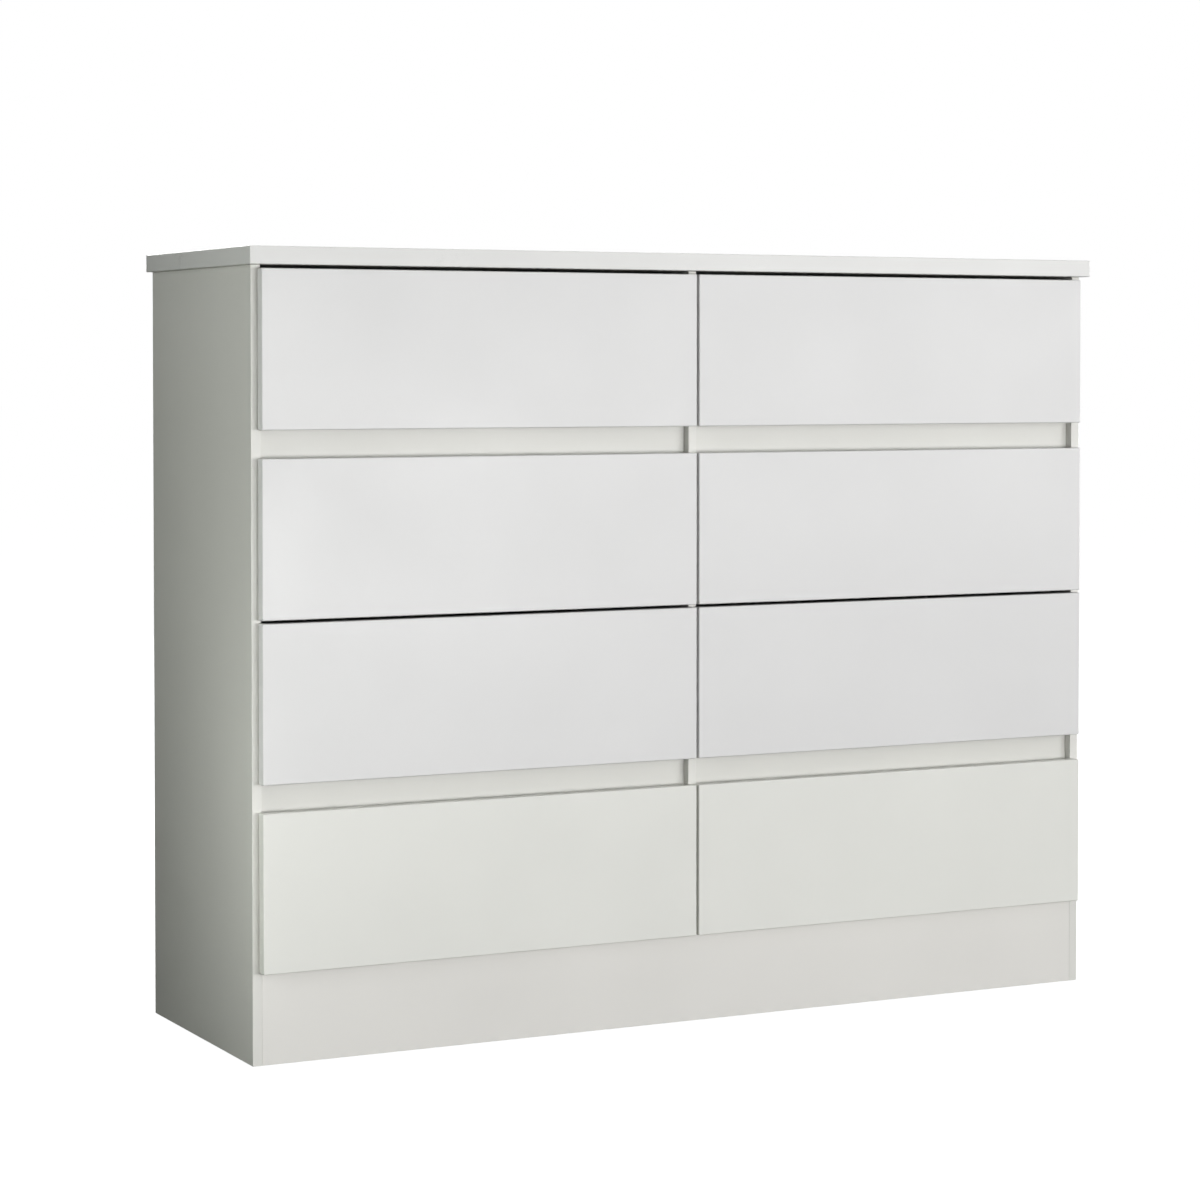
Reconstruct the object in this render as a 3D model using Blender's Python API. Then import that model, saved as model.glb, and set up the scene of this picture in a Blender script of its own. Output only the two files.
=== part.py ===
"""White chest of eight drawers: four rows in two columns, opened by finger gaps.

Every board, runner and drawer piece is an object of its own.  Metres, +Z up.
The origin is on the floor, under the centre of the chest; the drawers face -Y.
Seen from the front, "left" is -X, and the rows count down from the top.
"""

from math import cos, pi, sin

import bmesh
import bpy
from mathutils import Matrix, Vector

# Overall size
OVERALL_HEIGHT = 0.985
CARCASS_WIDTH = 1.200       # over the outer faces of the side panels
SIDE_DEPTH = 0.358          # a side panel, front edge to back edge

# Boards
SIDE_THICKNESS = 0.012
DIVIDER_THICKNESS = 0.011
TOP_THICKNESS = 0.022
BACK_THICKNESS = 0.0027
BOTTOM_THICKNESS = 0.012
RAIL_THICKNESS = 0.012
PLINTH_THICKNESS = 0.012
PLINTH_HEIGHT = 0.122       # its top stands behind the lowest drawer fronts
BACK_INSET = 0.002          # from a side panel's outer face to the back panel's edge
REAR_RAIL_HEIGHT = 0.060

# The top reaches past the carcass on all four sides
TOP_SIDE_OVERHANG = 0.0065
TOP_FRONT_OVERHANG = 0.016
TOP_REAR_OVERHANG = 0.006

# Drawer fronts, and the gaps between them
FRONT_HEIGHT = 0.1937
FRONT_THICKNESS = 0.015
FRONT_OVERLAY = 0.0036      # how far a front covers the edge of the board beside it
FRONT_STANDOFF = 0.0008     # from a closed front to the board edges behind it
LOWEST_FRONT_HEIGHT = 0.112
GRIP_GAP = 0.034            # the finger gap under the first and third rows
THIN_GAP = 0.0037           # between the second and third rows
RAIL_SETBACK = 0.0115       # from the carcass's front plane to a grip rail
RAIL_COVER = 0.010          # how far a grip rail reaches behind the fronts it parts

# Drawer boxes: sides and back are one board, folded into a U
BOX_THICKNESS = 0.012
BOX_HEIGHT = 0.150
BOX_LENGTH = 0.320
BOX_LIFT = 0.015            # from a front's lower edge to its box
BOX_SIDE_PLAY = 0.0015      # between a box and the carcass board beside it
SHEET_THICKNESS = 0.003     # the drawer's bottom
SHEET_LIFT = 0.010          # from a box's lower edge to the bottom's groove
SHEET_GROOVE_WIDTH = 0.0036
SHEET_GROOVE_DEPTH = 0.005
SHEET_PLAY = 0.0005         # between the bottom's edge and its groove's floor

# Runners: strips on the carcass that slide in grooves along the drawer sides
RUNNER_HEIGHT = 0.0142
RUNNER_ENGAGEMENT = 0.006   # how far a strip enters its groove
RUNNER_START = 0.004        # from the carcass's front plane to a strip's nose
RUNNER_LENGTH = 0.305
RUNNER_LIFT = 0.075         # from a box's lower edge to the strip's centre line
RUNNER_GROOVE_HEIGHT = 0.015
RUNNER_GROOVE_DEPTH = 0.0065

# Edges and fits
TOUCH = 0.0003              # the gap between two pieces that meet
BOARD_EDGE = 0.0005
TOP_EDGE = 0.0015
FRONT_EDGE = 0.0012
BOX_EDGE = 0.0015
RUNNER_EDGE = 0.0007
NOSE_STEPS = 6

# Finishes: base colour, roughness, metallic
FINISHES = {
    "carcass": ((0.80, 0.80, 0.77), 0.38, 0.0),
    "front": ((0.84, 0.84, 0.83), 0.34, 0.0),
    "box": ((0.78, 0.78, 0.75), 0.45, 0.0),
    "sheet": ((0.74, 0.73, 0.69), 0.55, 0.0),
    "runner": ((0.72, 0.72, 0.70), 0.42, 0.0),
}

# Planes and lines that several pieces share
FRONT_PLANE = -(SIDE_DEPTH + TOP_FRONT_OVERHANG + TOP_REAR_OVERHANG) / 2 + TOP_FRONT_OVERHANG
REAR_PLANE = FRONT_PLANE + SIDE_DEPTH
TOP_UNDERSIDE = OVERALL_HEIGHT - TOP_THICKNESS
INNER_HALF = CARCASS_WIDTH / 2 - SIDE_THICKNESS
DIVIDER_HALF = DIVIDER_THICKNESS / 2
BAY_WIDTH = INNER_HALF - DIVIDER_HALF
BAY_CENTRE = (INNER_HALF + DIVIDER_HALF) / 2
FLOOR_TOP = PLINTH_HEIGHT
FLOOR_UNDERSIDE = PLINTH_HEIGHT - BOTTOM_THICKNESS
FRONT_WIDTH = BAY_WIDTH + 2 * FRONT_OVERLAY
BOX_WIDTH = BAY_WIDTH - 2 * BOX_SIDE_PLAY
BOX_INNER_HALF = BOX_WIDTH / 2 - BOX_THICKNESS
COLUMNS = {"left": -1, "right": 1}


def front_heights():
    """Return the height of each row's lower edge, from the first row down."""
    heights = [LOWEST_FRONT_HEIGHT]
    for gap in (GRIP_GAP, THIN_GAP, GRIP_GAP):
        heights.append(heights[-1] + FRONT_HEIGHT + gap)
    return heights[::-1]


def clear_scene():
    for obj in list(bpy.data.objects):
        bpy.data.objects.remove(obj, do_unlink=True)


def finish(obj, kind):
    """Give the object a Principled material of its own."""
    colour, roughness, metallic = FINISHES[kind]
    material = bpy.data.materials.new(obj.name + "_" + kind)
    material.use_nodes = True
    shader = material.node_tree.nodes["Principled BSDF"]
    shader.inputs["Base Color"].default_value = (*colour, 1.0)
    shader.inputs["Roughness"].default_value = roughness
    shader.inputs["Metallic"].default_value = metallic
    obj.data.materials.clear()
    obj.data.materials.append(material)


def add_object(name, mesh, kind, location=(0, 0, 0), parent=None):
    obj = bpy.data.objects.new(name, mesh)
    obj.location = location
    obj.parent = parent
    bpy.context.scene.collection.objects.link(obj)
    finish(obj, kind)
    return obj


def mesh_from(bm, name):
    bmesh.ops.recalc_face_normals(bm, faces=bm.faces)
    mesh = bpy.data.meshes.new(name)
    bm.to_mesh(mesh)
    bm.free()
    return mesh


def box_bmesh(low, high, edge=0.0, segments=1):
    """Make a box between two corners, with every edge rounded over by edge."""
    low, high = Vector(low), Vector(high)
    bm = bmesh.new()
    place = Matrix.Translation((low + high) / 2) @ Matrix.Diagonal((*(high - low), 1.0))
    bmesh.ops.create_cube(bm, size=1.0, matrix=place)
    if edge:
        bmesh.ops.bevel(bm, geom=list(bm.edges), offset=edge, segments=segments,
                        profile=0.5, affect="EDGES")
    return bm


def board(name, low, high, kind="carcass", edge=BOARD_EDGE, segments=1):
    """Add a flat board between two corners, its origin at its centre."""
    low, high = Vector(low), Vector(high)
    centre = (low + high) / 2
    bm = box_bmesh(low - centre, high - centre, edge, segments)
    return add_object(name, mesh_from(bm, name), kind, centre)


def cut(mesh, cutters):
    """Return the mesh with each (low, high) box taken out of it."""
    solid = bpy.data.objects.new("solid_to_cut", mesh)
    bpy.context.scene.collection.objects.link(solid)
    tools = []
    for low, high in cutters:
        tool = bpy.data.objects.new("cutter", mesh_from(box_bmesh(low, high), "cutter"))
        tool.hide_render = True
        tool.display_type = "WIRE"
        bpy.context.scene.collection.objects.link(tool)
        modifier = solid.modifiers.new("groove", "BOOLEAN")
        modifier.operation = "DIFFERENCE"
        modifier.solver = "EXACT"
        modifier.object = tool
        tools.append(tool)
    depsgraph = bpy.context.evaluated_depsgraph_get()
    result = bpy.data.meshes.new_from_object(solid.evaluated_get(depsgraph))
    for obj in [solid] + tools:
        bpy.data.objects.remove(obj, do_unlink=True)
    return result


def add_top():
    half = CARCASS_WIDTH / 2 + TOP_SIDE_OVERHANG
    low = (-half, FRONT_PLANE - TOP_FRONT_OVERHANG, TOP_UNDERSIDE)
    high = (half, REAR_PLANE + TOP_REAR_OVERHANG, OVERALL_HEIGHT)
    board("top_panel", low, high, edge=TOP_EDGE, segments=3)


def add_uprights():
    """Add the two side panels, which stand on the floor, and the centre divider."""
    for column, side in COLUMNS.items():
        faces = sorted((side * CARCASS_WIDTH / 2, side * INNER_HALF))
        board("side_panel_" + column, (faces[0], FRONT_PLANE, 0),
              (faces[1], REAR_PLANE, TOP_UNDERSIDE - TOUCH))
    board("centre_divider", (-DIVIDER_HALF, FRONT_PLANE, FLOOR_TOP + TOUCH),
          (DIVIDER_HALF, REAR_PLANE, TOP_UNDERSIDE - TOUCH))


def add_base():
    """Add the plinth, flush with the side panels' front edges, and the floor behind it."""
    half = INNER_HALF - TOUCH
    plinth_back = FRONT_PLANE + PLINTH_THICKNESS
    board("plinth_front", (-half, FRONT_PLANE, 0), (half, plinth_back, PLINTH_HEIGHT))
    board("plinth_rear", (-half, REAR_PLANE - PLINTH_THICKNESS, 0),
          (half, REAR_PLANE, FLOOR_UNDERSIDE - TOUCH))
    board("plinth_brace", (-PLINTH_THICKNESS / 2, plinth_back + TOUCH, 0),
          (PLINTH_THICKNESS / 2, REAR_PLANE - PLINTH_THICKNESS - TOUCH, FLOOR_UNDERSIDE - TOUCH))
    board("bottom_panel", (-half, plinth_back + TOUCH, FLOOR_UNDERSIDE),
          (half, REAR_PLANE, FLOOR_TOP))


def add_across_bay(name, side, y_low, y_high, z_low, z_high):
    """Add a board that fills one bay from the divider to the side panel."""
    ends = sorted((side * (DIVIDER_HALF + TOUCH), side * (INNER_HALF - TOUCH)))
    board(name, (ends[0], y_low, z_low), (ends[1], y_high, z_high))


def add_rails(rows):
    """Add the grip rails behind the finger gaps, and the rear rails under the top."""
    rail_front = FRONT_PLANE + RAIL_SETBACK
    for column, side in COLUMNS.items():
        for level, upper_row in (("upper", 0), ("lower", 2)):
            gap_top = rows[upper_row]
            add_across_bay("grip_rail_%s_%s" % (level, column), side,
                           rail_front, rail_front + RAIL_THICKNESS,
                           gap_top - GRIP_GAP - RAIL_COVER, gap_top + RAIL_COVER)
        add_across_bay("rear_rail_" + column, side, REAR_PLANE - RAIL_THICKNESS, REAR_PLANE,
                       TOP_UNDERSIDE - TOUCH - REAR_RAIL_HEIGHT, TOP_UNDERSIDE - TOUCH)


def add_back():
    """Add the two thin back panels, which meet on the divider's rear edge."""
    for column, side in COLUMNS.items():
        ends = sorted((side * TOUCH, side * (CARCASS_WIDTH / 2 - BACK_INSET)))
        board("back_panel_" + column, (ends[0], REAR_PLANE + TOUCH, FLOOR_UNDERSIDE),
              (ends[1], REAR_PLANE + TOUCH + BACK_THICKNESS, TOP_UNDERSIDE - TOUCH),
              kind="sheet", edge=0)


# A drawer's own frame has its origin in the carcass's front plane, at the middle of
# its bay and level with the lower edge of its front.


def groove_heights():
    """Return the lower and upper face of the groove that holds a drawer's bottom."""
    low = BOX_LIFT + SHEET_LIFT
    return low, low + SHEET_GROOVE_WIDTH


def front_mesh():
    """Make a front: a slab with softened edges, grooved behind for the drawer's bottom."""
    back = -FRONT_STANDOFF
    slab = box_bmesh((-FRONT_WIDTH / 2, back - FRONT_THICKNESS, 0),
                     (FRONT_WIDTH / 2, back, FRONT_HEIGHT), FRONT_EDGE, 2)
    groove_low, groove_high = groove_heights()
    reach = BOX_INNER_HALF + SHEET_GROOVE_DEPTH
    groove = ((-reach, back - SHEET_GROOVE_DEPTH, groove_low), (reach, 0, groove_high))
    return cut(mesh_from(slab, "drawer_front"), [groove])


def box_mesh():
    """Make the folded sides and back, with runner grooves outside and one for the bottom."""
    half = BOX_WIDTH / 2
    front = TOUCH - FRONT_STANDOFF
    rear = front + BOX_LENGTH
    inner_rear = rear - BOX_THICKNESS
    outline = [(-half, front), (-BOX_INNER_HALF, front), (-BOX_INNER_HALF, inner_rear),
               (BOX_INNER_HALF, inner_rear), (BOX_INNER_HALF, front), (half, front),
               (half, rear), (-half, rear)]
    bm = bmesh.new()
    face = bm.faces.new([bm.verts.new((x, y, BOX_LIFT)) for x, y in outline])
    raised = bmesh.ops.extrude_face_region(bm, geom=[face])["geom"]
    lifted = [item for item in raised if isinstance(item, bmesh.types.BMVert)]
    bmesh.ops.translate(bm, vec=(0, 0, BOX_HEIGHT), verts=lifted)
    rim = [item for item in raised if isinstance(item, bmesh.types.BMEdge)]
    bmesh.ops.bevel(bm, geom=rim, offset=BOX_EDGE, segments=2, profile=0.5, affect="EDGES")

    beyond = 0.01
    groove_low, groove_high = groove_heights()
    reach = BOX_INNER_HALF + SHEET_GROOVE_DEPTH
    cutters = [((-reach, front - beyond, groove_low),
                (reach, inner_rear + SHEET_GROOVE_DEPTH, groove_high))]
    middle = BOX_LIFT + RUNNER_LIFT
    for side in COLUMNS.values():
        faces = sorted((side * (half - RUNNER_GROOVE_DEPTH), side * (half + beyond)))
        cutters.append(((faces[0], front - beyond, middle - RUNNER_GROOVE_HEIGHT / 2),
                        (faces[1], rear + beyond, middle + RUNNER_GROOVE_HEIGHT / 2)))
    return cut(mesh_from(bm, "drawer_box"), cutters)


def sheet_mesh():
    """Make a drawer's bottom, its four edges in the grooves."""
    half = BOX_INNER_HALF + SHEET_GROOVE_DEPTH - SHEET_PLAY
    front = -FRONT_STANDOFF - SHEET_GROOVE_DEPTH + SHEET_PLAY
    inner_rear = TOUCH - FRONT_STANDOFF + BOX_LENGTH - BOX_THICKNESS
    groove_low, groove_high = groove_heights()
    play = (SHEET_GROOVE_WIDTH - SHEET_THICKNESS) / 2
    bm = box_bmesh((-half, front, groove_low + play),
                   (half, inner_rear + SHEET_GROOVE_DEPTH - SHEET_PLAY, groove_high - play))
    return mesh_from(bm, "drawer_bottom")


def runner_mesh(side):
    """Make a strip with round ends; side is +1 where the carcass board is at +X."""
    radius = RUNNER_HEIGHT / 2
    start = RUNNER_START + radius
    end = RUNNER_START + RUNNER_LENGTH - radius
    fixed_face = side * (BAY_WIDTH / 2 - TOUCH)
    free_face = side * (BOX_WIDTH / 2 - RUNNER_ENGAGEMENT)
    outline = []
    for centre, first in ((end, -pi / 2), (start, pi / 2)):
        for step in range(NOSE_STEPS + 1):
            angle = first + pi * step / NOSE_STEPS
            outline.append((centre + radius * cos(angle), radius * sin(angle)))
    bm = bmesh.new()
    middle = BOX_LIFT + RUNNER_LIFT
    face = bm.faces.new([bm.verts.new((fixed_face, y, middle + z)) for y, z in outline])
    raised = bmesh.ops.extrude_face_region(bm, geom=[face])["geom"]
    moved = [item for item in raised if isinstance(item, bmesh.types.BMVert)]
    bmesh.ops.translate(bm, vec=(free_face - fixed_face, 0, 0), verts=moved)
    rim = [item for item in raised if isinstance(item, bmesh.types.BMEdge)]
    bmesh.ops.bevel(bm, geom=rim, offset=RUNNER_EDGE, segments=1, affect="EDGES")
    return mesh_from(bm, "runner")


def add_drawers(rows):
    """Add eight drawers, each under an empty on its slide's axis, and their runners."""
    front, box, sheet = front_mesh(), box_mesh(), sheet_mesh()
    runners = {side: runner_mesh(side) for side in COLUMNS.values()}
    for number, height in enumerate(rows, start=1):
        for column, side in COLUMNS.items():
            label = "%d_%s" % (number, column)
            origin = (side * BAY_CENTRE, FRONT_PLANE, height)
            slide = bpy.data.objects.new("slide_" + label, None)
            slide.location = origin
            bpy.context.scene.collection.objects.link(slide)
            add_object("drawer_front_" + label, front.copy(), "front", parent=slide)
            add_object("drawer_box_" + label, box.copy(), "box", parent=slide)
            add_object("drawer_bottom_" + label, sheet.copy(), "sheet", parent=slide)
            for place, facing in (("outer", side), ("inner", -side)):
                name = "runner_%s_%s" % (label, place)
                add_object(name, runners[facing].copy(), "runner", origin)
    for mesh in [front, box, sheet] + list(runners.values()):
        bpy.data.meshes.remove(mesh)


def main():
    clear_scene()
    rows = front_heights()
    add_top()
    add_uprights()
    add_base()
    add_rails(rows)
    add_back()
    add_drawers(rows)


main()
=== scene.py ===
from math import cos, pi, radians, sin, tau

import bmesh
import bpy
from mathutils import Matrix, Vector


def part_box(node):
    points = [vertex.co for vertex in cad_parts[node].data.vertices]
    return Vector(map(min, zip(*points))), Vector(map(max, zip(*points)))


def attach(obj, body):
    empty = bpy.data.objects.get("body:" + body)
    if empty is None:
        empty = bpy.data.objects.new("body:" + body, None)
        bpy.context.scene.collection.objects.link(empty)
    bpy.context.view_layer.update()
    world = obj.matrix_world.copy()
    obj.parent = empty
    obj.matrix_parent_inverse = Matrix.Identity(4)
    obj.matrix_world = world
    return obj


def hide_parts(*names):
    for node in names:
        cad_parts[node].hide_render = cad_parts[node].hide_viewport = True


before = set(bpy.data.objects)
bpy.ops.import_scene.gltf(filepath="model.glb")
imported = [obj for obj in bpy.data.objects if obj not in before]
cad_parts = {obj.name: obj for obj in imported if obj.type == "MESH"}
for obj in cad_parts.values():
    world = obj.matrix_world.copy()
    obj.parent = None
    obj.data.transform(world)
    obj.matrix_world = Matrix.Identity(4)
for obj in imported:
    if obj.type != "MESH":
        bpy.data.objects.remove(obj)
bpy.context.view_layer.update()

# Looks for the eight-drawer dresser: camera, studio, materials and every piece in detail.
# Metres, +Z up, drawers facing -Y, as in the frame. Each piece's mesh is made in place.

COLUMNS = {"left": -1, "right": 1}
ROWS = (1, 2, 3, 4)
LEVELS = ("upper", "lower")


# ------------------------------------------------------------------ camera

# Almost level, a little below the dresser's top and out past its left end.
CAMERA_PLACE = (-1.94153, -3.74274, 0.84031)
CAMERA_YAW = 26.8806
CAMERA_PITCH = -1.6
CAMERA_LENS = 95.191
CAMERA_SHIFT_Y = -0.12021
CAMERA_SENSOR = 36.0


def add_camera():
    camera = bpy.data.objects.new("camera", bpy.data.cameras.new("camera"))
    camera.location = CAMERA_PLACE
    camera.rotation_euler = (radians(90 + CAMERA_PITCH), 0, -radians(CAMERA_YAW))
    camera.data.sensor_width = CAMERA_SENSOR
    camera.data.lens = CAMERA_LENS
    camera.data.shift_y = CAMERA_SHIFT_Y
    bpy.context.scene.collection.objects.link(camera)
    bpy.context.scene.camera = camera


# ------------------------------------------------------------------ shader helpers


def new_material(name):
    material = bpy.data.materials.new(name)
    material.use_nodes = True
    tree = material.node_tree
    return material, tree, tree.nodes["Principled BSDF"]


def fill(tree, socket, value):
    """Link a socket to value, or set it where value is a plain number or colour."""
    if isinstance(value, bpy.types.NodeSocket):
        tree.links.new(value, socket)
    elif socket.type == "RGBA":
        socket.default_value = (*value, 1.0)
    else:
        socket.default_value = value


def add_node(tree, kind, inputs, output=0, **settings):
    """Add a node with its settings, fill its inputs, and return one of its outputs."""
    node = tree.nodes.new(kind)
    for key, value in settings.items():
        setattr(node, key, value)
    for key, value in inputs.items():
        fill(tree, node.inputs[key], value)
    return node.outputs[output]


def place_of(tree):
    """The surface point at rest, in metres, along the frame's axes."""
    return add_node(tree, "ShaderNodeTexCoord", {}, "Object")


def stretched(tree, point, scale):
    return add_node(tree, "ShaderNodeMapping", {"Vector": point, "Scale": scale})


def noise(tree, point, scale, detail=2.0, roughness=0.5, distortion=0.0):
    inputs = {"Vector": point, "Scale": scale, "Detail": detail, "Roughness": roughness,
              "Distortion": distortion}
    return add_node(tree, "ShaderNodeTexNoise", inputs, "Fac")


def remap(tree, value, low, high, to_low, to_high):
    inputs = {"Value": value, "From Min": low, "From Max": high,
              "To Min": to_low, "To Max": to_high}
    return add_node(tree, "ShaderNodeMapRange", inputs)


def maths(tree, operation, first, second=0.0):
    return add_node(tree, "ShaderNodeMath", {0: first, 1: second}, operation=operation)


def blend(tree, factor, first, second):
    """Mix two colours."""
    inputs = {0: factor, 6: first, 7: second}
    return add_node(tree, "ShaderNodeMix", inputs, 2, data_type="RGBA")


def bump(tree, height, strength, distance, under=None):
    inputs = {"Height": height, "Strength": strength, "Distance": distance}
    if under:
        inputs["Normal"] = under
    return add_node(tree, "ShaderNodeBump", inputs)


def scaled(colour, factor):
    return tuple(channel * factor for channel in colour)


# ------------------------------------------------------------------ materials

# The carcass and the lowest two fronts are a warmer white than the other six fronts.
CARCASS_WHITE = (0.795, 0.791, 0.750)
# The grip rails are a darker white than the carcass: painted shade for their recess behind the
# fronts.
SHADED_RAIL_WHITE = (0.757, 0.755, 0.714)
PLINTH_WHITE = (0.832, 0.820, 0.782)
BAND_WHITE = (0.810, 0.810, 0.792)
FRONT_WHITE = (0.790, 0.788, 0.784)
LOW_FRONT_WHITE = (0.840, 0.844, 0.798)
FOIL_WHITE = (0.745, 0.747, 0.725)
PAINT_WHITE = (0.735, 0.730, 0.700)
PLASTIC_WHITE = (0.740, 0.742, 0.725)
FIBRE_BROWN = (0.330, 0.200, 0.108)
FIBRE_DARK = (0.200, 0.115, 0.058)
CHIP_PALE = (0.560, 0.400, 0.235)
CHIP_DARK = (0.250, 0.150, 0.075)
ZINC = (0.62, 0.62, 0.60)
LINEN_PITCH = 0.0011
WAVE_LENGTH = tau / 20      # of the wave texture at scale 1


def threads(tree, point, axis):
    """Fine embossed threads, side by side along one axis."""
    inputs = {"Vector": point, "Scale": WAVE_LENGTH / LINEN_PITCH, "Distortion": 1.2,
              "Detail": 2.0, "Detail Scale": 1.5}
    return add_node(tree, "ShaderNodeTexWave", inputs, "Fac", wave_type="BANDS",
                    bands_direction=axis)


def laminate(name, colour, roughness, emboss=0.00003, uneven=0.02):
    """White melamine or foil: satin, slightly uneven in tone and gloss, embossed like linen."""
    material, tree, shader = new_material(name)
    point = place_of(tree)
    clouds = remap(tree, noise(tree, point, 5.0, 3.0), 0.3, 0.7, 0.0, 1.0)
    tone = blend(tree, clouds, scaled(colour, 1 - uneven), scaled(colour, 1 + uneven / 2))
    fill(tree, shader.inputs["Base Color"], tone)
    smears = remap(tree, noise(tree, point, 9.0, 4.0, 0.6, 0.4), 0.3, 0.7,
                   roughness - 0.04, roughness + 0.05)
    grains = remap(tree, noise(tree, point, 900.0), 0.3, 0.7, -0.02, 0.02)
    fill(tree, shader.inputs["Roughness"], maths(tree, "ADD", smears, grains))
    weave = threads(tree, point, "X")
    for axis in "YZ":
        weave = maths(tree, "ADD", weave, threads(tree, point, axis))
    embossed = bump(tree, weave, 0.5, emboss)
    pressed = bump(tree, noise(tree, point, 14.0), 0.25, 0.0004, embossed)
    fill(tree, shader.inputs["Normal"], pressed)
    shader.inputs["IOR"].default_value = 1.48
    return material


def hardboard(name, colour, dark, roughness):
    """Pressed wood fibre, bare or painted: short fibres show in its tone and its surface."""
    material, tree, shader = new_material(name)
    point = place_of(tree)
    strands = noise(tree, stretched(tree, point, (1.0, 1.0, 4.0)), 260.0, 5.0, 0.65, 1.5)
    clouds = noise(tree, point, 7.0, 3.0)
    mixed = maths(tree, "ADD", maths(tree, "MULTIPLY", strands, 0.7),
                  maths(tree, "MULTIPLY", clouds, 0.3))
    fill(tree, shader.inputs["Base Color"],
         blend(tree, remap(tree, mixed, 0.35, 0.65, 0.0, 1.0), dark, colour))
    fill(tree, shader.inputs["Roughness"],
         remap(tree, strands, 0.3, 0.7, roughness - 0.06, roughness + 0.06))
    fill(tree, shader.inputs["Normal"], bump(tree, strands, 0.5, 0.00012))
    return material


def chipboard():
    """The bare edge of a board: flat chips, pale and dark, lying every way."""
    material, tree, shader = new_material("bare_chipboard")
    point = place_of(tree)
    bent = add_node(tree, "ShaderNodeVectorMath", operation="ADD", inputs={
        0: point, 1: stretched(tree, add_node(tree, "ShaderNodeTexNoise", {
            "Vector": point, "Scale": 90.0}, "Color"), (0.006, 0.006, 0.006))})
    flat = stretched(tree, bent, (1.0, 1.0, 0.45))
    chips = add_node(tree, "ShaderNodeTexVoronoi", {"Vector": flat, "Scale": 420.0}, "Color")
    value = add_node(tree, "ShaderNodeSeparateColor", {"Color": chips}, "Red")
    fill(tree, shader.inputs["Base Color"], blend(tree, value, CHIP_DARK, CHIP_PALE))
    fill(tree, shader.inputs["Normal"], bump(tree, value, 0.6, 0.0003))
    fill(tree, shader.inputs["Roughness"], remap(tree, value, 0.0, 1.0, 0.75, 0.92))
    return material


def plastic():
    """Moulded white plastic with a fine spark-eroded grain."""
    material, tree, shader = new_material("moulded_plastic")
    point = place_of(tree)
    grain = noise(tree, point, 1500.0, 3.0)
    clouds = remap(tree, noise(tree, point, 30.0), 0.3, 0.7, 0.0, 1.0)
    fill(tree, shader.inputs["Base Color"],
         blend(tree, clouds, scaled(PLASTIC_WHITE, 0.97), PLASTIC_WHITE))
    fill(tree, shader.inputs["Roughness"], remap(tree, grain, 0.3, 0.7, 0.38, 0.48))
    fill(tree, shader.inputs["Normal"], bump(tree, grain, 0.3, 0.00004))
    return material


def zinc():
    """Zinc-plated steel or cast zinc: grey metal with faint turning marks."""
    material, tree, shader = new_material("zinc_plate")
    point = place_of(tree)
    marks = noise(tree, stretched(tree, point, (1.0, 1.0, 6.0)), 700.0, 3.0, 0.6)
    clouds = remap(tree, noise(tree, point, 120.0), 0.3, 0.7, 0.0, 1.0)
    fill(tree, shader.inputs["Base Color"], blend(tree, clouds, scaled(ZINC, 0.85), ZINC))
    fill(tree, shader.inputs["Roughness"], remap(tree, marks, 0.3, 0.7, 0.26, 0.42))
    fill(tree, shader.inputs["Normal"], bump(tree, marks, 0.2, 0.00002))
    shader.inputs["Metallic"].default_value = 1.0
    return material


MATERIALS = {
    "carcass": laminate("carcass_laminate", CARCASS_WHITE, 0.36),
    # The rail laminate's darker white is painted shade for the recessed grip rails.
    "rail": laminate("grip_rail_shaded_laminate", SHADED_RAIL_WHITE, 0.36),
    "plinth": laminate("plinth_laminate", PLINTH_WHITE, 0.36),
    "band": laminate("edge_band", BAND_WHITE, 0.30, 0.00001),
    "front": laminate("front_laminate", FRONT_WHITE, 0.33),
    "low_front": laminate("low_front_laminate", LOW_FRONT_WHITE, 0.33),
    "foil": laminate("drawer_foil", FOIL_WHITE, 0.46, 0.00002),
    "paint": hardboard("painted_hardboard", PAINT_WHITE, scaled(PAINT_WHITE, 0.93), 0.52),
    "fibre": hardboard("bare_hardboard", FIBRE_BROWN, FIBRE_DARK, 0.72),
    "chip": chipboard(),
    "plastic": plastic(),
    "zinc": zinc(),
}


# ------------------------------------------------------------------ mesh helpers

ROUND_STEPS = 4             # faces across a rounded edge
EASED_STEPS = 2             # and across an edge that is only eased
TURNED_STEPS = 20           # round a turned piece, unless it says otherwise
FACETED = radians(30)       # edges that turn less than this are smoothed
FACING = 0.9                # a normal's least share of the way that its face is said to face


def add_box(bm, low, high, spin=None):
    """Add a box between two corners, turned by spin about its middle."""
    low, high = Vector(low), Vector(high)
    place = Matrix.Translation((low + high) / 2) @ (spin or Matrix.Identity(4))
    place = place @ Matrix.Diagonal((*(high - low), 1.0))
    return bmesh.ops.create_cube(bm, size=1.0, matrix=place)["verts"]


def round_edges(bm, width, chosen=lambda edge: True, steps=ROUND_STEPS):
    bm.normal_update()
    edges = [edge for edge in bm.edges if edge.is_manifold and chosen(edge)]
    bmesh.ops.bevel(bm, geom=edges, offset=width, segments=steps, profile=0.5, affect="EDGES")


def paint(bm, rule):
    """Number each face's material by what rule says of its normal."""
    bm.normal_update()
    for face in bm.faces:
        face.material_index = rule(face.normal)


def mesh_of(bm, name):
    bmesh.ops.recalc_face_normals(bm, faces=bm.faces)
    mesh = bpy.data.meshes.new(name)
    bm.to_mesh(mesh)
    bm.free()
    return mesh


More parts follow.
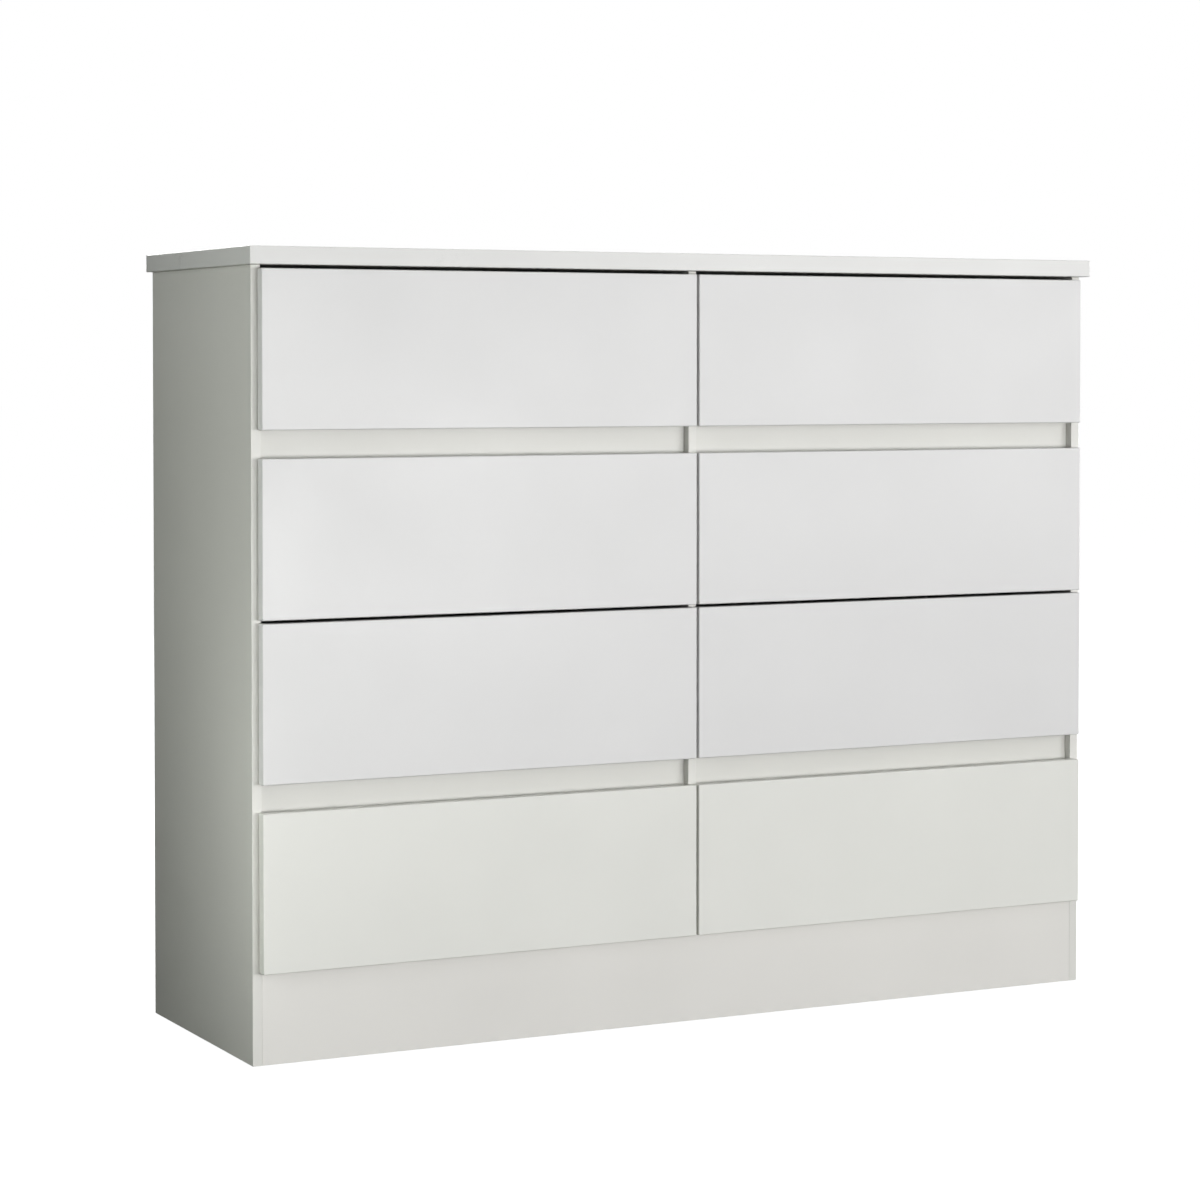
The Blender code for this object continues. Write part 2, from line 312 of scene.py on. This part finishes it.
def cut(mesh, tool):
    """Return the mesh with the tool bmesh's boxes taken out of it."""
    solid = bpy.data.objects.new("uncut", mesh)
    cutter = bpy.data.objects.new("cutter", mesh_of(tool, "cutter"))
    for obj in (solid, cutter):
        bpy.context.scene.collection.objects.link(obj)
    modifier = solid.modifiers.new("cut", "BOOLEAN")
    modifier.operation = "DIFFERENCE"
    modifier.solver = "EXACT"
    modifier.object = cutter
    depsgraph = bpy.context.evaluated_depsgraph_get()
    result = bpy.data.meshes.new_from_object(solid.evaluated_get(depsgraph))
    for obj in (solid, cutter):
        bpy.data.objects.remove(obj)
    return result


def add_piece(name, mesh, materials, body, nodes=()):
    """Show a mesh as a piece: smooth on its rounded edges, flat on its faces."""
    mesh.name = name
    for kind in materials:
        mesh.materials.append(MATERIALS[kind])
    mesh.shade_smooth()
    mesh.set_sharp_from_angle(angle=FACETED)
    obj = bpy.data.objects.new(name, mesh)
    bpy.context.scene.collection.objects.link(obj)
    weighted = obj.modifiers.new("flat_faces", "WEIGHTED_NORMAL")
    weighted.keep_sharp = True
    weighted.weight = 100
    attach(obj, body)
    if nodes:
        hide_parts(*nodes)
    return obj


def moved(mesh, offset):
    copy = mesh.copy()
    copy.transform(Matrix.Translation(offset))
    return copy


def turned(profile, steps=TURNED_STEPS):
    """Turn an (r, z) profile about Z into a closed solid."""
    bm = bmesh.new()
    rings = []
    for radius, height in profile:
        if radius:
            ring = [bm.verts.new((radius * cos(tau * step / steps),
                                  radius * sin(tau * step / steps), height))
                    for step in range(steps)]
        else:
            ring = [bm.verts.new((0, 0, height))]
        rings.append(ring)
    for below, above in zip(rings, rings[1:]):
        for step in range(steps):
            after = (step + 1) % steps
            loop = [below[step % len(below)], below[after % len(below)],
                    above[after % len(above)], above[step % len(above)]]
            bm.faces.new(list(dict.fromkeys(loop)))
    return bm


RECESS_DEPTH = 0.0012
RECESS_HEADROOM = 0.001     # how far its cutter reaches above a fixing's face


def with_recess(mesh, reach):
    """Cut a cross recess for a driver into a fixing that faces up."""
    for long, short in ((reach, reach / 4), (reach / 4, reach)):
        tool = bmesh.new()
        add_box(tool, (-long, -short, -RECESS_DEPTH), (long, short, RECESS_HEADROOM))
        mesh = cut(mesh, tool)
    return mesh


# ------------------------------------------------------------------ carcass

EDGE_EASE = 0.0004          # a board's plain edges
BAND_THICKNESS = 0.0010
BAND_ROUND = 0.0004
TOP_ROUND = 0.0012
JOINT_CLOSING = 0.00025     # takes up the CAD's gap between the plinth and the side panels


def add_board(node, low_trim=(0, 0, 0), high_trim=(0, 0, 0), kind="carcass"):
    """Add a carcass board as big as its node, less the room for its edge bands.
    Its rear and lower edges are bare chipboard, but its broad faces never are."""
    low, high = (Vector(corner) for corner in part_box(node))
    size = high - low
    thin = min(range(3), key=lambda axis: size[axis])
    bm = bmesh.new()
    add_box(bm, low + Vector(low_trim), high - Vector(high_trim))
    paint(bm, lambda normal: int((normal.y > FACING and thin != 1)
                                 or (normal.z < -FACING and thin != 2)))
    round_edges(bm, EDGE_EASE, steps=EASED_STEPS)
    add_piece(node + "_board", mesh_of(bm, node), (kind, "chip"), "carcass",
              [node])


def add_band(name, low, high, outward, rounding, node, kind):
    """Add an edge band, its outer long edges rounded. outward is its outer face's normal."""
    bm = bmesh.new()
    add_box(bm, low, high)
    outward = Vector(outward)
    round_edges(bm, rounding, lambda edge: any(
        face.normal.dot(outward) > FACING for face in edge.link_faces))
    add_piece(name, mesh_of(bm, name), (kind,), "carcass", [node])


def add_uprights():
    """Add the side panels and the divider, each banded along its front edge."""
    for node in ("side_panel_left", "side_panel_right", "centre_divider"):
        add_board(node, low_trim=(0, BAND_THICKNESS, 0))
        low, high = (Vector(corner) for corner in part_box(node))
        high.y = low.y + BAND_THICKNESS
        add_band(node + "_front_band", low, high, (0, -1, 0), BAND_ROUND, node, "carcass")


def add_top():
    """Add the top, banded on its four edges. Front and rear bands cover the side bands' ends."""
    node = "top_panel"
    trim = (BAND_THICKNESS, BAND_THICKNESS, 0)
    add_board(node, trim, trim)
    low, high = (Vector(corner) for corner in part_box(node))
    inner_low, inner_high = low.y + BAND_THICKNESS, high.y - BAND_THICKNESS
    add_band("top_front_band", low, (high.x, inner_low, high.z),
             (0, -1, 0), TOP_ROUND, node, "band")
    add_band("top_rear_band", (low.x, inner_high, low.z), high,
             (0, 1, 0), TOP_ROUND, node, "band")
    add_band("top_left_band", (low.x, inner_low, low.z),
             (low.x + BAND_THICKNESS, inner_high, high.z),
             (-1, 0, 0), TOP_ROUND, node, "band")
    add_band("top_right_band", (high.x - BAND_THICKNESS, inner_low, low.z),
             (high.x, inner_high, high.z), (1, 0, 0), TOP_ROUND, node, "band")


def add_inner_boards():
    for node in ("bottom_panel", "plinth_rear", "plinth_brace"):
        add_board(node)
    closed_up = (-JOINT_CLOSING, 0, 0)
    add_board("plinth_front", closed_up, closed_up, "plinth")
    for column in COLUMNS:
        add_board("rear_rail_" + column)
        for level in LEVELS:
            # The grip rails take the darker rail laminate, painted shade for their recess.
            add_board("grip_rail_%s_%s" % (level, column), kind="rail")


NAIL_RADIUS = 0.0021
NAIL_PROFILE = (            # radius and height of its domed head
    (0, 0.0006), (NAIL_RADIUS * 0.6, 0.0005), (NAIL_RADIUS, 0.00015), (NAIL_RADIUS, 0),
    (NAIL_RADIUS * 0.4, -0.0002), (0, -0.0002))
NAIL_STEPS = 12
NAIL_PITCH = 0.115
NAIL_INSET = 0.0045         # from a back panel's edge


def nail_places(low, high):
    """Space nails evenly round a back panel's edges, corners included."""
    left, right = low.x + NAIL_INSET, high.x - NAIL_INSET
    foot, head = low.z + NAIL_INSET, high.z - NAIL_INSET
    across = round((right - left) / NAIL_PITCH)
    up = round((head - foot) / NAIL_PITCH)
    for step in range(across + 1):
        for height in (foot, head):
            yield left + (right - left) * step / across, height
    for step in range(1, up):
        for side in (left, right):
            yield side, foot + (head - foot) * step / up


def add_backs():
    """Add the back panels, painted within and bare behind, and the nails that hold them."""
    for column in COLUMNS:
        node = "back_panel_" + column
        low, high = (Vector(corner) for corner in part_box(node))
        bm = bmesh.new()
        add_box(bm, low, high)
        paint(bm, lambda normal: 0 if normal.y < -FACING else 1)
        round_edges(bm, EDGE_EASE, steps=EASED_STEPS)
        add_piece(node + "_sheet", mesh_of(bm, node), ("paint", "fibre"), "carcass",
                  [node])
        nail = mesh_of(turned(NAIL_PROFILE, NAIL_STEPS), "nail")
        nails = bmesh.new()
        for x, z in nail_places(low, high):
            place = Matrix.Translation((x, high.y, z)) @ Matrix.Rotation(-pi / 2, 4, "X")
            copy = nail.copy()
            copy.transform(place)
            nails.from_mesh(copy)
        add_piece("back_nails_" + column, mesh_of(nails, "nails"), ("zinc",), "carcass")


# ------------------------------------------------------------------ drawers

FRONT_ROUND = 0.0015
FRONT_SPREAD = 0.0003       # how far a front's ends reach past its node's
FOIL_ROUND = 0.0012
FOLD_ROUND = 0.0014
SIDE_BOARD = 0.012
GROOVE_DEPTH = 0.005        # for the bottom, in the front and in the folded sides
RUNNER_GROOVE_DEPTH = 0.0065
SHEET_SLACK = 0.0003        # above and below the bottom in its groove
RUNNER_SLACK = 0.0004       # above and below a runner in its groove
BEYOND = 0.01               # how far a cutter reaches past what it cuts
NEAR = 0.001                # closer than this counts as the same place
MITRE_WIDTH = 0.00025
MITRE_DEPTH = 0.0005


def nodes_of(label):
    return {kind: "drawer_%s_%s" % (kind, label) for kind in ("front", "box", "bottom")}


def front_mesh(label):
    """A drawer front: softly rounded all round, grooved behind for the drawer's bottom."""
    names = nodes_of(label)
    low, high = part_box(names["front"])
    sheet_low, sheet_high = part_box(names["bottom"])
    spread = Vector((FRONT_SPREAD, 0, 0))
    bm = bmesh.new()
    add_box(bm, Vector(low) - spread, Vector(high) + spread)
    round_edges(bm, FRONT_ROUND)
    tool = bmesh.new()
    add_box(tool, (sheet_low[0] - SHEET_SLACK, high[1] - GROOVE_DEPTH, sheet_low[2] - SHEET_SLACK),
            (sheet_high[0] + SHEET_SLACK, high[1] + BEYOND, sheet_high[2] + SHEET_SLACK))
    return cut(mesh_of(bm, "front"), tool)


def box_mesh(label):
    """The folded sides and back: foil-wrapped, rounded at its folds and along its top."""
    names = nodes_of(label)
    low, high = (Vector(corner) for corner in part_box(names["box"]))
    sheet_low, sheet_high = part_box(names["bottom"])
    inner = (low.x + SIDE_BOARD, high.x - SIDE_BOARD, high.y - SIDE_BOARD)
    outline = [(low.x, low.y), (inner[0], low.y), (inner[0], inner[2]), (inner[1], inner[2]),
               (inner[1], low.y), (high.x, low.y), (high.x, high.y), (low.x, high.y)]
    bm = bmesh.new()
    face = bm.faces.new([bm.verts.new((x, y, low.z)) for x, y in outline])
    raised = bmesh.ops.extrude_face_region(bm, geom=[face])["geom"]
    bmesh.ops.translate(bm, vec=(0, 0, high.z - low.z),
                        verts=[item for item in raised if isinstance(item, bmesh.types.BMVert)])

    def is_fold(edge):
        ends = [vert.co for vert in edge.verts]
        upright = abs(ends[0].z - ends[1].z) > SIDE_BOARD
        return upright and ends[0].y > high.y - NEAR

    round_edges(bm, FOLD_ROUND, is_fold)
    round_edges(bm, FOIL_ROUND, lambda edge: any(
        abs(face.normal.z) > FACING for face in edge.link_faces))
    tool = bmesh.new()
    add_box(tool, (sheet_low[0] - SHEET_SLACK, low.y - BEYOND, sheet_low[2] - SHEET_SLACK),
            (sheet_high[0] + SHEET_SLACK, sheet_high[1] + SHEET_SLACK, sheet_high[2] + SHEET_SLACK))
    for place, face_x, inward in (("outer", low.x, 1), ("inner", high.x, -1)):
        runner_low, runner_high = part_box("runner_%s_%s" % (label, place))
        ends = sorted((face_x - inward * BEYOND, face_x + inward * RUNNER_GROOVE_DEPTH))
        add_box(tool, (ends[0], low.y - BEYOND, runner_low[2] - RUNNER_SLACK),
                (ends[1], high.y + BEYOND, runner_high[2] + RUNNER_SLACK))
    for corner_x, turn in ((low.x + SIDE_BOARD / 2, pi / 4), (high.x - SIDE_BOARD / 2, -pi / 4)):
        middle = Vector((corner_x, high.y - SIDE_BOARD / 2, high.z))
        half = Vector((MITRE_WIDTH / 2, SIDE_BOARD, MITRE_DEPTH))
        add_box(tool, middle - half, middle + half, Matrix.Rotation(turn, 4, "Z"))
    return cut(mesh_of(bm, "box"), tool)


def sheet_mesh(label):
    low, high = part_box(nodes_of(label)["bottom"])
    bm = bmesh.new()
    add_box(bm, low, high)
    paint(bm, lambda normal: 0 if normal.z > FACING else 1)
    round_edges(bm, EDGE_EASE, steps=EASED_STEPS)
    return mesh_of(bm, "bottom")


CAM_RADIUS = 0.0060
CAM_PROFILE = (             # radius and height: a disc with a raised rim
    (0, -0.002), (CAM_RADIUS, -0.002), (CAM_RADIUS, 0.00005), (CAM_RADIUS * 0.96, 0.0002),
    (CAM_RADIUS * 0.86, 0.0002), (CAM_RADIUS * 0.82, -0.0001), (0, -0.0001))
CAM_RECESS = CAM_RADIUS * 0.6
CAM_STEPS = 32
CAM_BACK = 0.024            # from a front's rear face to its cams' centres
CAM_HEIGHTS = (0.28, 0.78)  # up a drawer's side, as a share of its height


def cams_mesh(label, cam):
    """The four cams that hold a front, let into the inner faces of its drawer's sides."""
    low, high = (Vector(corner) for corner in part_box(nodes_of(label)["box"]))
    bm = bmesh.new()
    for face_x, turn in ((low.x + SIDE_BOARD, pi / 2), (high.x - SIDE_BOARD, -pi / 2)):
        for share in CAM_HEIGHTS:
            copy = cam.copy()
            place = Vector((face_x, low.y + CAM_BACK, low.z + share * (high.z - low.z)))
            copy.transform(Matrix.Translation(place) @ Matrix.Rotation(turn, 4, "Y"))
            bm.from_mesh(copy)
    return mesh_of(bm, "cams")


def add_drawers():
    first = "1_left"
    origin = Vector(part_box("drawer_front_" + first)[0])
    cam = with_recess(mesh_of(turned(CAM_PROFILE, CAM_STEPS), "cam"), CAM_RECESS)
    templates = {"front": front_mesh(first), "box": box_mesh(first), "sheet": sheet_mesh(first),
                 "cams": cams_mesh(first, cam)}
    for row in ROWS:
        for column in COLUMNS:
            label = "%d_%s" % (row, column)
            body = "drawer_" + label
            names = nodes_of(label)
            offset = Vector(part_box(names["front"])[0]) - origin
            pieces = (("front", "front_board_", ("low_front" if row == ROWS[-1] else "front",),
                       "front_laminate", [names["front"]]),
                      ("box", "folded_box_", ("foil",), "drawer_foil", [names["box"]]),
                      ("sheet", "bottom_sheet_", ("paint", "fibre"), "white_hardboard",
                       [names["bottom"]]),
                      ("cams", "front_cams_", ("zinc",), "screw_steel", []))
            for template, prefix, materials, slot, nodes in pieces:
                add_piece(prefix + label, moved(templates[template], offset), materials, body,
                          nodes)


# ------------------------------------------------------------------ runners

RUNNER_ROUND = 0.0007
SCREW_PLACES = (0.08, 0.5, 0.92)    # along a runner, as a share of its length
SCREW_RADIUS = 0.0030
SCREW_PROFILE = (                   # radius and height of a countersunk head
    (0, -0.0022), (SCREW_RADIUS * 0.45, -0.0022), (SCREW_RADIUS, -0.0004),
    (SCREW_RADIUS * 0.97, -0.0002), (0, -0.0002))
SCREW_RECESS = SCREW_RADIUS * 0.55
SINK_PROFILE = (                    # and of the sink that it lies in
    (0, -0.0018), (SCREW_RADIUS * 0.55, -0.0018), (SCREW_RADIUS * 1.1, 0),
    (SCREW_RADIUS * 1.1, 0.001), (0, 0.001))
RUNNER_END_STEPS = 12               # round each end
RUNNER_RIM_STEPS = 3                # across its rounded rim


def runner_mesh(node, facing):
    """A strip with round ends, countersunk for its screws. facing is +1 if its free face is +X."""
    low, high = (Vector(corner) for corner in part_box(node))
    radius = (high.z - low.z) / 2
    middle = (high.z + low.z) / 2
    outline = []
    for centre, first in ((high.y - radius, -pi / 2), (low.y + radius, pi / 2)):
        for step in range(RUNNER_END_STEPS + 1):
            angle = first + pi * step / RUNNER_END_STEPS
            outline.append((centre + radius * cos(angle), middle + radius * sin(angle)))
    fixed, free = (low.x, high.x) if facing > 0 else (high.x, low.x)
    bm = bmesh.new()
    face = bm.faces.new([bm.verts.new((fixed, y, z)) for y, z in outline])
    raised = bmesh.ops.extrude_face_region(bm, geom=[face])["geom"]
    bmesh.ops.translate(bm, vec=(free - fixed, 0, 0),
                        verts=[item for item in raised if isinstance(item, bmesh.types.BMVert)])
    rim = [item for item in raised if isinstance(item, bmesh.types.BMEdge)]
    bmesh.ops.bevel(bm, geom=rim, offset=RUNNER_ROUND, segments=RUNNER_RIM_STEPS, profile=0.5,
                    affect="EDGES")
    mesh = mesh_of(bm, "runner")
    for share in SCREW_PLACES:
        tool = turned(SINK_PROFILE)
        place = Vector((free, low.y + share * (high.y - low.y), middle))
        bmesh.ops.transform(tool, verts=tool.verts, matrix=Matrix.Translation(place)
                            @ Matrix.Rotation(facing * pi / 2, 4, "Y"))
        mesh = cut(mesh, tool)
    return mesh


def add_runners():
    """Add the sixteen strips and their screws. An outer strip's free face points inwards."""
    screw = with_recess(mesh_of(turned(SCREW_PROFILE), "screw"), SCREW_RECESS)
    templates = {}
    for row in ROWS:
        for column, side in COLUMNS.items():
            for place, facing in (("outer", -side), ("inner", side)):
                label = "%d_%s_%s" % (row, column, place)
                node = "runner_" + label
                low, high = (Vector(corner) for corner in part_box(node))
                if facing not in templates:
                    templates[facing] = (low, runner_mesh(node, facing))
                first_low, strip = templates[facing]
                add_piece("runner_strip_" + label, moved(strip, low - first_low), ("plastic",),
                          "carcass", [node])
                bm = bmesh.new()
                free = high.x if facing > 0 else low.x
                for share in SCREW_PLACES:
                    copy = screw.copy()
                    spot = Vector((free, low.y + share * (high.y - low.y), (low.z + high.z) / 2))
                    copy.transform(Matrix.Translation(spot)
                                   @ Matrix.Rotation(facing * pi / 2, 4, "Y"))
                    bm.from_mesh(copy)
                add_piece("runner_screws_" + label, mesh_of(bm, "screws"), ("zinc",), "carcass")


# ------------------------------------------------------------------ studio

MIDDLE = (0, 0, 0.5)
LEFT_TINT = (0.965, 1.0, 0.950)
FLOOR_RADIUS = 60.0
FLOOR_STEPS = 96            # round its edge
FLOOR_DROP = 0.0005
FLOOR_GREY = 0.2
# The floor glows less beside the dresser than beyond it: painted shade under the lamps' own faint
# shadow.
GLOW_BY_IT = 0.93           # the floor's own glow beside the dresser
GLOW_BEYOND = 1.0           # and further out
GLOW_RAMP = (0.9, 1.8)      # the distances from the origin that it changes between


def add_area(name, place, target, size, watts, colour=(1, 1, 1)):
    light = bpy.data.lights.new(name, "AREA")
    light.shape = "RECTANGLE"
    light.size, light.size_y = size
    light.energy = watts
    light.color = colour
    lamp = bpy.data.objects.new(name, light)
    lamp.location = place
    lamp.rotation_euler = (Vector(target) - Vector(place)).to_track_quat("-Z", "Y").to_euler()
    lamp.visible_camera = False
    bpy.context.scene.collection.objects.link(lamp)


def add_lights():
    """Add soft boxes before the fronts, dim strips by the left panel, and fill all round."""
    add_area("key_right", (3.4, -4.4, 1.2), MIDDLE, (2.5, 2.0), 84)
    add_area("key_high", (0.0, -3.6, 3.6), MIDDLE, (3.0, 2.0), 22)
    add_area("key_low", (0.2, -4.2, 0.45), (0, 0, 0.4), (3.0, 0.8), 92)
    add_area("left_strip", (-1.35, -0.30, 0.85), (-0.6, -0.30, 0.85), (0.25, 1.4), 3.8, LEFT_TINT)
    add_area("left_low", (-0.95, -0.32, 0.26), (-0.6, -0.32, 0.26), (0.15, 0.4), 0.5, LEFT_TINT)
    add_area("left_back", (-3.0, 2.5, 2.2), (-0.6, 0, 0.6), (2.0, 2.0), 9.5, LEFT_TINT)
    add_area("back_fill", (0.8, 5.0, 2.4), MIDDLE, (4.0, 3.0), 260)
    add_area("right_fill", (5.0, 0.8, 1.6), MIDDLE, (3.0, 3.0), 90)
    add_area("above", (0.3, 0.5, 4.0), (0, 0, 1), (3.0, 3.0), 60)


def add_world():
    """White to the camera only, so that it lights nothing."""
    world = bpy.data.worlds.new("studio")
    bpy.context.scene.world = world
    world.use_nodes = True
    background = world.node_tree.nodes["Background"]
    background.inputs["Color"].default_value = (1, 1, 1, 1)
    world.cycles_visibility.diffuse = False
    world.cycles_visibility.glossy = False


def add_floor():
    """Add a pale floor that glows white away from the dresser and glows less beside it, a painted
    shade that lets the lamps' faint real shadow show there.
    """
    material, tree, shader = new_material("studio_floor")
    shader.inputs["Base Color"].default_value = (FLOOR_GREY, FLOOR_GREY, FLOOR_GREY, 1)
    shader.inputs["Roughness"].default_value = 1.0
    shader.inputs["Emission Color"].default_value = (1, 1, 1, 1)
    distance = add_node(tree, "ShaderNodeVectorMath", {0: place_of(tree)}, "Value",
                        operation="LENGTH")
    fill(tree, shader.inputs["Emission Strength"],
         remap(tree, distance, *GLOW_RAMP, GLOW_BY_IT, GLOW_BEYOND))
    bm = bmesh.new()
    bmesh.ops.create_circle(bm, cap_ends=True, segments=FLOOR_STEPS, radius=FLOOR_RADIUS)
    mesh = mesh_of(bm, "studio_floor")
    mesh.materials.append(material)
    floor = bpy.data.objects.new("studio_floor", mesh)
    floor.location.z = -FLOOR_DROP
    floor.visible_diffuse = False
    floor.visible_glossy = False
    bpy.context.scene.collection.objects.link(floor)


add_camera()
add_top()
add_uprights()
add_inner_boards()
add_backs()
add_drawers()
add_runners()
add_lights()
add_world()
add_floor()
bpy.context.scene.view_settings.view_transform = "Standard"
